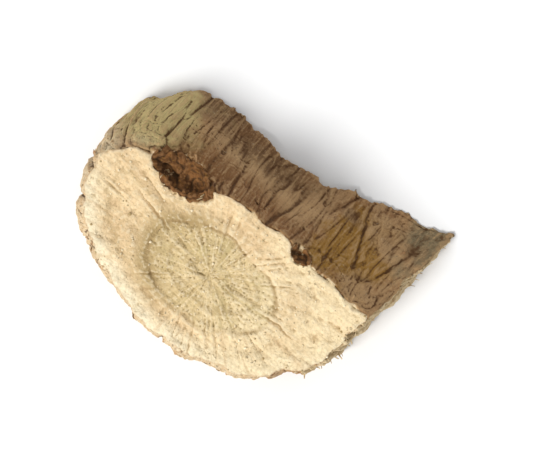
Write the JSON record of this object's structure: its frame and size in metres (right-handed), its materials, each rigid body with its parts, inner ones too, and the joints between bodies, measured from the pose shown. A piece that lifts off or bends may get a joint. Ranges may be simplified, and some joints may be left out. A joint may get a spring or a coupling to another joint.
{
  "type": "dried ashwagandha root chip",
  "caption": "Chip of dried, chopped ashwagandha root: a slanted slice with a pale cut face, wrinkled bark all round and a broken end, lying on its lower cut face.",
  "frame": {"origin": "centre of the bounding box in plan, on the surface that the chip lies on", "axes": "+Z up from the surface, +X along the chip's longest side in plan, towards its pointed spur; seen from above, as in the picture, +X is right and +Y is up"},
  "size_m": [0.0088, 0.0068, 0.0029],
  "materials": {
    "bark": "dry, matt, buff-brown root bark with lengthwise wrinkles",
    "cut_wood": "dry, matt, pale straw cut root, starchy, with a fine ring and rays"
  },
  "bodies": {
    "root": {"root_chip": "bark"}
  },
  "joints": []
}
